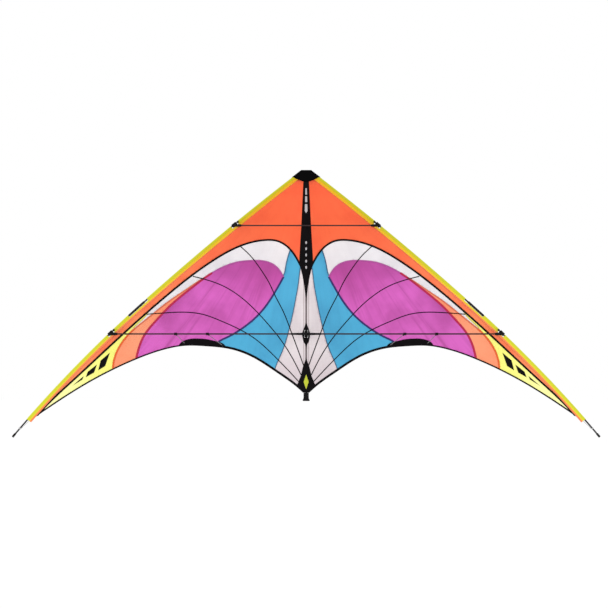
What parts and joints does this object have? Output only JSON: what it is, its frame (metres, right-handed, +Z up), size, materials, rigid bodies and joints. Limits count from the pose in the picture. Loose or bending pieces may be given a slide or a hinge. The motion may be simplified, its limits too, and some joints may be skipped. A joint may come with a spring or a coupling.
{
  "type": "delta stunt kite",
  "caption": "Swept delta kite: coloured cloth sail on carbon rods, with spreaders, standoffs that hold the sail out, and eyes for a bridle.",
  "frame": {"origin": "centre of the bridle eye in front of the centre fitting, where the spine crosses the lower spreader", "axes": "+X to the right seen from the front, +Y from the bridle side to the back, +Z up the spine towards the nose"},
  "size_m": [2.185, 0.1453, 0.9934],
  "materials": {
    "carbon_rod": "satin black carbon fibre tube",
    "spreader_rod": "satin dark brown-grey carbon fibre tube",
    "pale_rod": "satin pale grey glass fibre rod",
    "black_ferrule": "black sleeve over the rods' joint",
    "black_plastic": "moulded black nylon",
    "black_rubber": "moulded black rubbery vinyl",
    "grey_cord": "braided grey line",
    "sleeve_cloth": "yellow-green shading to amber, woven sleeve",
    "orange_cloth": "orange ripstop sailcloth",
    "pale_orange_cloth": "pale orange ripstop sailcloth",
    "yellow_cloth": "pale yellow ripstop sailcloth",
    "magenta_cloth": "magenta ripstop sailcloth",
    "blue_cloth": "light blue ripstop sailcloth",
    "white_cloth": "white ripstop sailcloth",
    "black_cloth": "black adhesive and hemmed sailcloth",
    "black_webbing": "thick black webbing"
  },
  "bodies": {
    "airframe": {"upper_edge_rod_right": "carbon_rod", "upper_edge_rod_left": "carbon_rod", "lower_edge_rod_right": "carbon_rod", "lower_edge_rod_left": "carbon_rod", "edge_ferrule_right": "black_ferrule", "edge_ferrule_left": "black_ferrule", "wing_tip_nock_right": "black_plastic", "wing_tip_nock_left": "black_plastic", "nose_rod_cap_right": "black_plastic", "nose_rod_cap_left": "black_plastic", "lower_spreader_rod_right": "spreader_rod", "lower_spreader_rod_left": "spreader_rod", "upper_edge_fitting_right": "black_rubber", "upper_edge_fitting_left": "black_rubber", "lower_edge_fitting_right": "black_rubber", "lower_edge_fitting_left": "black_rubber", "tip_tension_line_right": "grey_cord", "tip_tension_line_left": "grey_cord", "edge_sleeve_right": "sleeve_cloth", "edge_sleeve_left": "sleeve_cloth", "upper_orange_panel_right": "orange_cloth", "upper_orange_panel_left": "orange_cloth", "upper_white_panel_right": "white_cloth", "upper_white_panel_left": "white_cloth", "magenta_panel_right": "magenta_cloth", "magenta_panel_left": "magenta_cloth", "blue_panel_right": "blue_cloth", "blue_panel_left": "blue_cloth", "inner_white_panel_right": "white_cloth", "inner_white_panel_left": "white_cloth", "outer_orange_panel_right": "pale_orange_cloth", "outer_orange_panel_left": "pale_orange_cloth", "yellow_tip_panel_right": "yellow_cloth", "yellow_tip_panel_left": "yellow_cloth", "seam_tape_right": "black_cloth", "seam_tape_left": "black_cloth", "trailing_hem_right": "black_cloth", "trailing_hem_left": "black_cloth", "trailing_patch_right": "black_cloth", "trailing_patch_left": "black_cloth", "spine_rod": "carbon_rod", "spine_top_cap": "black_plastic", "tail_cap": "black_rubber", "centre_fitting": "black_rubber", "centre_patch": "black_cloth", "tail_patch": "black_cloth", "spine_strip": "black_cloth", "spine_pocket": "white_cloth", "nose_piece": "black_webbing"},
    "right_standoffs": {"outer_standoff_collar_right": "black_rubber", "outer_standoff_rod_right": "pale_rod", "inner_standoff_collar_right": "black_rubber", "inner_standoff_rod_right": "pale_rod", "standoff_clips_right": "black_plastic"},
    "left_standoffs": {"outer_standoff_collar_left": "black_rubber", "outer_standoff_rod_left": "pale_rod", "inner_standoff_collar_left": "black_rubber", "inner_standoff_rod_left": "pale_rod", "standoff_clips_left": "black_plastic"},
    "upper_spreader": {"upper_spreader_rod": "spreader_rod"}
  },
  "joints": [
    {"name": "right_standoffs_swing", "type": "hinge", "parent": "airframe", "child": "right_standoffs", "pos_m": [0.42, 0.009, 0], "axis": [1, 0, 0], "range_deg": [-7, 7], "stiffness_Nm_per_rad": 2, "deforming": ["magenta_panel_right", "blue_panel_right", "trailing_hem_right", "trailing_patch_right"]},
    {"name": "left_standoffs_swing", "type": "hinge", "parent": "airframe", "child": "left_standoffs", "pos_m": [-0.42, 0.009, 0], "axis": [1, 0, 0], "range_deg": [-7, 7], "stiffness_Nm_per_rad": 2, "deforming": ["magenta_panel_left", "blue_panel_left", "trailing_hem_left", "trailing_patch_left"]},
    {"name": "upper_spreader_turn", "type": "hinge", "parent": "airframe", "child": "upper_spreader", "pos_m": [0, 0.009, 0.402], "axis": [1, 0, 0], "continuous": true}
  ]
}
